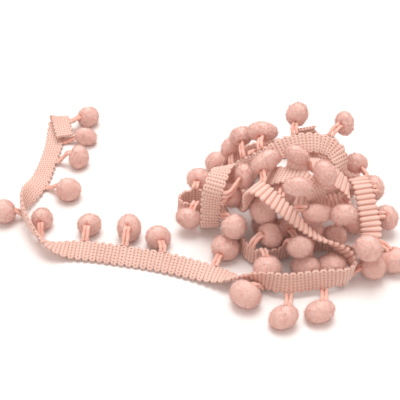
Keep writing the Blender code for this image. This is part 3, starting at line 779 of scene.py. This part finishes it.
def lay_pompoms(tape):
    """Where each ball comes to lie: near its row's point, on a loop of fair length, clear of tape
    and balls.

    Each turn draws the ball towards its point, less and less, then pushes it off the tape, other
    loops and other balls by a share of the shortfall, and pushes feelers along its loop off the
    tape. It keeps the loop's length fair, and keeps the ball on or above the floor.
    """
    turns, draw_in, gap, loop_gap, most_back, ends_kept = 400, 0.1, 0.5, 2.2, 4.0, 3
    # The share of a shortfall that each kind of push makes up, and a length that spares a pair.
    off_tape, off_balls, off_loops, loop_off_tape, spared_far = 0.7, 0.35, 0.3, 0.8, 99.0
    # Shares of the way along a loop, each with how clear of the tape the loop is kept there.
    loop_feelers = ((0.15, 1.0), (0.4, 2.4))
    across = np.array([-4.2, -2.1, 0.0, 2.1, 4.2])
    last = len(tape["centre"]) - ends_kept
    root_at = [min(max(tape["places"][row[0]] + row[1], ends_kept), last) for row in POMPOMS]
    outward = tape["edge"][root_at]
    root = tape["centre"][root_at] + outward * (TAPE_WIDTH / 2 + EDGING_GAP + EDGING_WIDTH / 2)
    cloth = tape["centre"][::2, None, :] + tape["edge"][::2, None, :] * across[None, :, None]
    cloth = cloth.reshape(-1, 3)
    own = np.eye(len(POMPOMS)) * spared_far
    target = np.array([row[2:5] for row in POMPOMS])
    ball = target.copy()
    off_cloth = POMPOM_RADIUS + TAPE_THICKNESS / 2 + gap
    for turn in range(turns):
        ball += (target - ball) * draw_in * (1 - turn / turns)
        ball += push_off_nearest(ball, cloth, off_cloth) * off_tape
        ball += push_off_nearest(ball, root, off_cloth, own) * off_tape
        ball += push_off_all(ball, ball, 2 * POMPOM_RADIUS + gap, own) * off_balls
        for share, clear in loop_feelers:
            feeler = root + (ball - root) * share
            ball += push_off_all(ball, feeler, POMPOM_RADIUS + loop_gap, own) * off_loops
            ball += push_off_nearest(feeler, cloth, clear) * loop_off_tape
        loop = ball - root
        back = np.minimum(0.0, (loop * outward).sum(axis=1) + most_back)
        loop = loop - outward * back[:, None]
        length = np.linalg.norm(loop, axis=1)
        ball = root + loop / length[:, None] * np.clip(length, LOOP_SHORTEST, LOOP_LONGEST)[:, None]
        ball[:, 2] = np.maximum(ball[:, 2], POMPOM_REST)
    return np.array(root_at), root, ball


def lumps(ways, chance, count, low, high):
    """A gentle unevenness over directions: the mean of cosines of each direction's lean along
    random axes, whose lengths from low to high set how fine it is."""
    axes = unit(chance.normal(size=(count, 3))) * chance.uniform(low, high, size=(count, 1))
    start = chance.uniform(0, 2 * np.pi, count)
    return np.cos(ways @ axes.T + start).mean(axis=-1) * LUMP_GAIN


def drawn_out(ways, long_way, stretch):
    """Directions made longer along the long way by the stretch to two thirds, and shorter across it
    by its cube root, so that the ball they span is longer than wide but no bigger."""
    grow_long, grow_thin = stretch ** (2 / 3) - 1, stretch ** (-1 / 3) - 1
    lean = (ways @ long_way)[..., None]
    return ways + long_way * lean * grow_long + (ways - long_way * lean) * grow_thin


def ball_shape(centre, size, stretch, long_way, tie, chance):
    """A felted ball on a grid of level by meridian, its poles left for small caps.

    A direction times the radius is drawn out along the long way, uneven by broad and fine lumps and
    drawn in by a dimple where the yarn ties it. A ball that lies on the floor is set down on it,
    with a small flat. The directions, the dimple's depth at each point and the place where the
    loop's yarn goes in are returned too.
    """
    broad_depth, fine_depth, near_floor, flat_depth, mouth_share = 0.06, 0.2, 0.1, 0.25, 0.84
    tilt = np.linspace(POLE_CAP, np.pi - POLE_CAP, BALL_LEVELS)[:, None]
    turn = np.linspace(0.0, 2 * np.pi, BALL_MERIDIANS, endpoint=False)[None, :]
    level_part = np.sin(tilt)
    ways = np.broadcast_arrays(level_part * np.cos(turn), level_part * np.sin(turn), np.cos(tilt))
    ways = np.stack(ways, axis=-1)
    broad = lumps(ways, chance, count=7, low=1.5, high=3.0)
    radius = POMPOM_RADIUS * size * (1.0 + broad_depth * broad)
    radius += fine_depth * lumps(ways, chance, count=24, low=7.0, high=16.0)
    dimple = np.exp(-((1.0 - ways @ tie) / DIMPLE_WIDTH))
    radius -= DIMPLE_DEPTH * dimple
    points = centre + drawn_out(ways, long_way, stretch) * radius[..., None]
    drop = np.zeros(3)
    if centre[2] < POMPOM_REST + near_floor:
        drop[2] = -flat_depth - points[..., 2].min()
    points = points + drop
    points[..., 2] = np.maximum(points[..., 2], LOWEST_BALL)
    mouth = drawn_out(tie, long_way, stretch) * POMPOM_RADIUS * size * mouth_share
    return points, ways, dimple, centre + drop + mouth


def ball_nap(skin, ways, chance):
    """Loose fibre ends on a ball: narrow slips in two spans, each from just under the skin out
    along its normal and then bent a random way, with a random length."""
    height = chance.uniform(-NEAREST_POLE, NEAREST_POLE, FIBRES)
    level = np.arccos(height) / np.pi * (BALL_LEVELS - 1)
    around = chance.integers(0, BALL_MERIDIANS, FIBRES)
    low = np.clip(level.astype(int), 0, BALL_LEVELS - 2)
    part = (level - low)[:, None]
    foot = skin[low, around] * (1 - part) + skin[low + 1, around] * part
    outward = unit(ways[low, around] + chance.normal(scale=FIBRE_LEAN, size=(FIBRES, 3)))
    onward = unit(outward + chance.normal(scale=FIBRE_BEND, size=(FIBRES, 3)))
    side = unit(np.cross(outward, chance.normal(size=(FIBRES, 3)))) * FIBRE_WIDTH / 2
    length = FIBRE_LENGTH * chance.uniform(FIBRE_SHORTEST, 1.0, size=(FIBRES, 1))
    root = foot - outward * FIBRE_ROOT
    bend = foot + outward * length * 0.5
    tip = bend + onward * length * 0.5
    tip_side = side * FIBRE_TIP
    corners = (root - side, root + side, bend + side, bend - side, tip + tip_side, tip - tip_side)
    slips = np.stack(corners, axis=1)
    slips[..., 2] = np.maximum(slips[..., 2], LOWEST_YARN)
    first = np.arange(FIBRES)[:, None] * len(corners)
    quads = np.concatenate([first + np.array([[0, 1, 2, 3]]), first + np.array([[3, 2, 4, 5]])])
    return slips.reshape(-1, 3), quads


def loop_strand(start, leave, end, arrive, twist, out_way):
    """One strand of a loop: a round cord on a grid of distance by place round it.

    Its line is a cubic from the start, leaving one way, to the end, arriving another way. Its
    radius swells twice round the cord on a slow screw, as two plies laid together do.
    """
    share = np.linspace(0.0, 1.0, STRAND_RINGS)[:, None]
    reach = np.linalg.norm(end - start) * STRAND_REACH
    line = (
        (1 - share) ** 3 * start
        + 3 * (1 - share) ** 2 * share * (start + leave * reach)
        + 3 * (1 - share) * share**2 * (end - arrive * reach)
        + share**3 * end
    )
    ahead = unit(np.gradient(line, axis=0))
    side = unit(out_way - (ahead @ out_way)[:, None] * ahead)
    upward = np.cross(ahead, side)
    turn = np.linspace(0.0, 2 * np.pi, STRAND_SIDES, endpoint=False)[None, :]
    radius = STRAND_RADIUS * (1.0 + PLY_SWELL * np.cos(2 * turn - twist * share * PLY_TWIST))
    points = (
        line[:, None, :]
        + side[:, None, :] * (radius * np.cos(turn))[..., None]
        + upward[:, None, :] * (radius * np.sin(turn))[..., None]
    )
    points[..., 2] = np.maximum(points[..., 2], LOWEST_BALL)
    return points


def felt_material():
    """The ball's brushed yarn: a dull pink with a fine mottle and nap, and painted shade, a deep
    pink, in the dimple where the loop ties it."""
    material, tree, shader, fibre, bump = yarn_material(
        "pompom_felt", roughness=0.95, sheen=0.45, depth=0.4, nap=1500.0, mottle=1500.0
    )
    mottle = fibre.outputs["Mottle"]
    tufts = math_node(tree, "MULTIPLY_ADD", mottle, BALL_TUFTS, fibre.outputs["Nap"])
    tree.links.new(tufts, bump.inputs["Height"])
    share = math_node(tree, "MULTIPLY_ADD", mottle, *BALL_MOTTLE)
    share.node.use_clamp = True
    # The tie's dimple gets painted shade over the mottled skin, by its depth.
    tie_shade = node_of(tree, "ShaderNodeAttribute", attribute_name="tie_shade").outputs["Fac"]
    skin = blend_colours(tree, share, BALL_DEEP, BALL_LIT)
    tree.links.new(blend_colours(tree, tie_shade, skin, BALL_TIE_SHADE), shader.inputs["Base Color"])
    return material


def loop_material():
    """The loop's cord: the tape's yarn, a little deeper, with a fine nap."""
    material, tree, shader, fibre, bump = yarn_material(
        "loop_cord", roughness=0.85, sheen=0.25, depth=0.25, nap=2200.0, mottle=300.0
    )
    tree.links.new(fibre.outputs["Nap"], bump.inputs["Height"])
    share = math_node(tree, "MULTIPLY_ADD", fibre.outputs["Mottle"], *LOOP_MOTTLE)
    share.node.use_clamp = True
    tree.links.new(blend_colours(tree, share, LOOP_DEEP, LOOP_LIT), shader.inputs["Base Color"])
    return material


# Each piece is one ball with its nap, in felt, and the two strands of its loop, in cord. Pieces are
# numbered along the tape.
felt, loop_cord = felt_material(), loop_material()
root_at, root, ball = lay_pompoms(tape)
for number, row in enumerate(np.argsort(root_at), 1):
    chance = np.random.default_rng(number)
    place = root_at[row]
    size, stretch, heading, lift, tie_height = POMPOMS[row][5:]
    along, edge = tape["along"][place], tape["edge"][place]
    run = unit(ball[row] - root[row])
    tie = unit(-run + np.array([0.0, 0.0, tie_height]))
    long_way = np.array(facing(heading, lift))
    skin, ways, dimple, mouth = ball_shape(ball[row], size, stretch, long_way, tie, chance)
    nap, nap_quads = ball_nap(skin, ways, chance)
    points = [skin.reshape(-1, 3), nap]
    quads = [grid_faces(BALL_LEVELS, BALL_MERIDIANS), nap_quads + dimple.size]
    ends = grid_ends(BALL_LEVELS, BALL_MERIDIANS)
    end_slots = [0, 0]
    side = unit(along - run * (along @ run))
    for way in (-1.0, 1.0):
        in_edge = edge * (TAPE_WIDTH / 2 - STRAND_IN_EDGE)
        start = tape["centre"][place] + in_edge + along * way * STRAND_APART / 2
        end = mouth + side * way * STRAND_APART * STRANDS_AT_BALL
        arrive = unit(-tie + run * STRAND_AHEAD)
        strand = loop_strand(start, edge, end, arrive, way, along * way)
        first = sum(map(len, points))
        points.append(strand.reshape(-1, 3))
        quads.append(grid_faces(STRAND_RINGS, STRAND_SIDES) + first)
        ends += grid_ends(STRAND_RINGS, STRAND_SIDES, first)
        end_slots += [1, 1]
    quad_slots = np.repeat([0, 0, 1, 1], [len(part) for part in quads])
    # Painted shade for the tie's dimple, by its depth; the nap and the loop strands get none.
    tie_shade = np.zeros(sum(map(len, points)))
    tie_shade[: dimple.size] = dimple.ravel() * FOLD_SHADE
    piece = make_piece(
        f"yarn_pompom_{number:02d}",
        np.concatenate(points),
        np.concatenate(quads),
        ends,
        [felt, loop_cord],
        {"tie_shade": tie_shade},
        slots=np.concatenate([quad_slots, end_slots]),
    )
    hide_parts(f"pompom_{number:02d}")

# --------------------------------------------------------------------------------------------------
# The floor and the light: a matt near-white sweep under soft studio light, with one large soft
# source above and behind the trim, a weaker one in front, and an even pale surround.
FLOOR_SIDE = 4000.0
FLOOR_WHITE = (0.93, 0.92, 0.915)
SURROUND = (1.0, 0.86, 0.815)
SURROUND_STRENGTH = 0.72

floor_mesh = bpy.data.meshes.new("floor")
half_side = FLOOR_SIDE / 2 * MM
floor_mesh.from_pydata(
    [(x * half_side, y * half_side, 0.0) for x, y in ((-1, -1), (1, -1), (1, 1), (-1, 1))],
    [],
    [(0, 1, 2, 3)],
)
floor = bpy.data.objects.new("floor", floor_mesh)
scene.collection.objects.link(floor)
floor_material = bpy.data.materials.new("floor_paint")
floor_material.use_nodes = True
set_inputs(
    floor_material.node_tree.nodes["Principled BSDF"],
    {"Base Color": (*FLOOR_WHITE, 1.0), "Roughness": 1.0, "Specular IOR Level": 0.0},
)
floor_mesh.materials.append(floor_material)


def soft_light(name, place, side, power, colour):
    """A square area light at a place in millimetres, turned to face the trim's middle."""
    data = bpy.data.lights.new(name, "AREA")
    data.shape = "SQUARE"
    data.size = side * MM
    data.energy = power
    data.color = colour
    lamp = bpy.data.objects.new(name, data)
    towards = -np.array(place, float)
    pitch = np.arctan2(np.hypot(towards[0], towards[1]), -towards[2])
    heading = np.arctan2(towards[1], towards[0]) - np.pi / 2
    lamp.rotation_euler = (pitch, 0.0, heading)
    lamp.location = np.array(place) * MM
    scene.collection.objects.link(lamp)


soft_light("main_light", (0.0, 300.0, 1080.0), side=700.0, power=9.4, colour=(0.97, 1.0, 0.99))
soft_light("front_light", (-300.0, -700.0, 800.0), side=900.0, power=0.5, colour=(1.0, 0.98, 0.97))
world = bpy.data.worlds.new("surround")
world.use_nodes = True
background = {"Color": (*SURROUND, 1.0), "Strength": SURROUND_STRENGTH}
set_inputs(world.node_tree.nodes["Background"], background)
scene.world = world
scene.view_settings.view_transform = "Standard"
